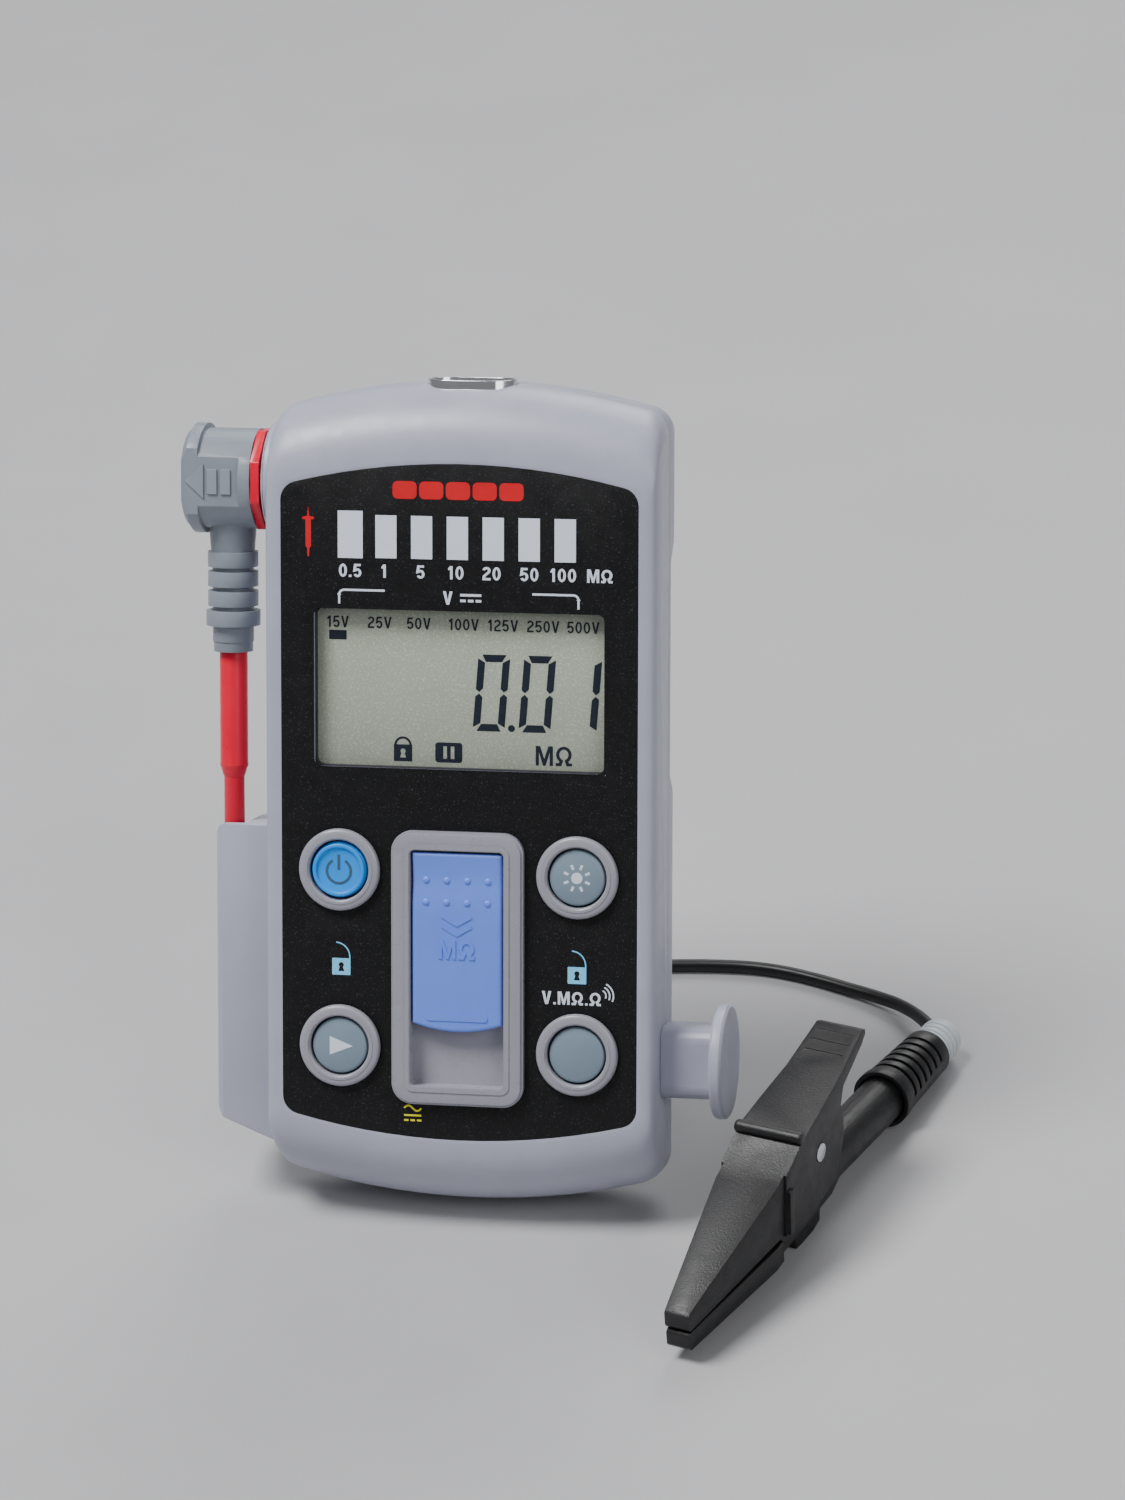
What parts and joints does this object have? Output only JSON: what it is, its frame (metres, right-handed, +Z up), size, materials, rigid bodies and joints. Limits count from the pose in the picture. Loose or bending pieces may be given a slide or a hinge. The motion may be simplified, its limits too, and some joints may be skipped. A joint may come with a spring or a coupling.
{
  "type": "insulation resistance tester",
  "caption": "Pocket insulation tester on a folding stand, with arched grey case, display, sliding test key, swinging line probe and an earth lead ending in a black clip.",
  "frame": {"origin": "centre of the object's box on the floor plane, measured without the earth cord and its clip", "axes": "+X to the right of the front, +Y to the back, +Z up"},
  "size_m": [0.1185, 0.119, 0.1268],
  "materials": {
    "case_grey": "fine moulded satin",
    "panel_black": "black with a fine sparkle",
    "clear_window": "clear plastic",
    "display_glass": "grey-green reflective display",
    "white_plastic": "light guide",
    "dark_plastic": "moulded",
    "zebra_rubber": "layered",
    "board_green": "solder mask",
    "capacitor_red": "dipped",
    "rim_grey": "satin silver-grey",
    "power_blue": "translucent",
    "button_grey": "satin",
    "key_blue": "satin",
    "torch_chrome": "vacuum metallised",
    "led_clear": "clear epoxy",
    "contact_brass": "nickel over brass",
    "probe_red": "satin",
    "elbow_grey": "matte elastomer",
    "bright_metal": "nickel plated",
    "cell_wrap": "printed wrap",
    "screw_steel": "zinc plated",
    "cord_black": "PVC",
    "cap_grey": "ringed elastomer",
    "clip_black": "fine grained nylon"
  },
  "bodies": {
    "tester": {"front_case": "case_grey", "rear_case": "case_grey", "front_panel": "panel_black", "window_lens": "clear_window", "lcd_frame": "dark_plastic", "lcd_glass": "display_glass", "backlight_panel": "white_plastic", "zebra_strips": "zebra_rubber", "main_board": "board_green", "processor_chip": "dark_plastic", "converter_transformer": "dark_plastic", "high_voltage_capacitor": "capacitor_red", "buzzer": "dark_plastic", "tact_switches": "dark_plastic", "test_switch": "dark_plastic", "power_rim": "rim_grey", "light_rim": "rim_grey", "hold_rim": "rim_grey", "mode_rim": "rim_grey", "test_key_rim": "rim_grey", "torch_reflector": "torch_chrome", "torch_led": "led_clear", "line_boss": "case_grey", "line_socket": "contact_brass", "probe_holder": "case_grey", "clip_peg": "case_grey", "battery_left": "cell_wrap", "battery_right": "cell_wrap", "battery_contacts": "bright_metal", "battery_cover": "case_grey", "cover_screw": "screw_steel", "case_screws": "screw_steel", "stand_pin": "screw_steel", "cord_grommet": "cord_black", "earth_cord": "cord_black", "earth_cord_coil": "cord_black", "cord_cap": "cap_grey", "plug_grip": "clip_black", "clip_lower_jaw": "clip_black", "lower_teeth": "bright_metal", "clip_pivot": "bright_metal", "clip_spring": "bright_metal"},
    "power_key": {"power_button": "power_blue"},
    "light_key": {"light_button": "button_grey"},
    "hold_key": {"hold_button": "button_grey"},
    "mode_key": {"mode_button": "button_grey"},
    "test_slider": {"test_key": "key_blue"},
    "line_probe": {"plug_collar": "probe_red", "plug_pin": "contact_brass", "elbow_housing": "elbow_grey", "probe_sleeve": "probe_red", "probe_tip": "bright_metal"},
    "stand": {"tilt_stand": "dark_plastic"},
    "clip_lever": {"clip_upper_jaw": "clip_black", "upper_teeth": "bright_metal"}
  },
  "joints": [
    {"name": "power_press", "type": "slide", "parent": "tester", "child": "power_key", "axis": [0, 0.9361, -0.3518], "range_m": [0, 0.0006], "stiffness_N_per_m": 1500, "springref_m": -0.0004},
    {"name": "light_press", "type": "slide", "parent": "tester", "child": "light_key", "axis": [0, 0.9361, -0.3518], "range_m": [0, 0.0006], "stiffness_N_per_m": 1500, "springref_m": -0.0004},
    {"name": "hold_press", "type": "slide", "parent": "tester", "child": "hold_key", "axis": [0, 0.9361, -0.3518], "range_m": [0, 0.0006], "stiffness_N_per_m": 1500, "springref_m": -0.0004},
    {"name": "mode_press", "type": "slide", "parent": "tester", "child": "mode_key", "axis": [0, 0.9361, -0.3518], "range_m": [0, 0.0006], "stiffness_N_per_m": 1500, "springref_m": -0.0004},
    {"name": "test_slide", "type": "slide", "parent": "tester", "child": "test_slider", "axis": [0, -0.3518, -0.9361], "range_m": [0, 0.0085], "stiffness_N_per_m": 120, "springref_m": -0.004},
    {"name": "probe_swing", "type": "hinge", "parent": "tester", "child": "line_probe", "pos_m": [-0.0361, 0.01077, 0.11016], "axis": [1, 0, 0], "range_deg": [0, 180]},
    {"name": "stand_fold", "type": "hinge", "parent": "tester", "child": "stand", "pos_m": [0.0019, 0.00824, 0.08098], "axis": [1, 0, 0], "range_deg": [-36, 0]},
    {"name": "clip_open", "type": "hinge", "parent": "tester", "child": "clip_lever", "pos_m": [0.05476, -0.03157, 0.0156], "axis": [-0.9563, 0.2924, 0], "range_deg": [0, 24], "stiffness_Nm_per_rad": 0.25, "springref_deg": -20.05}
  ]
}
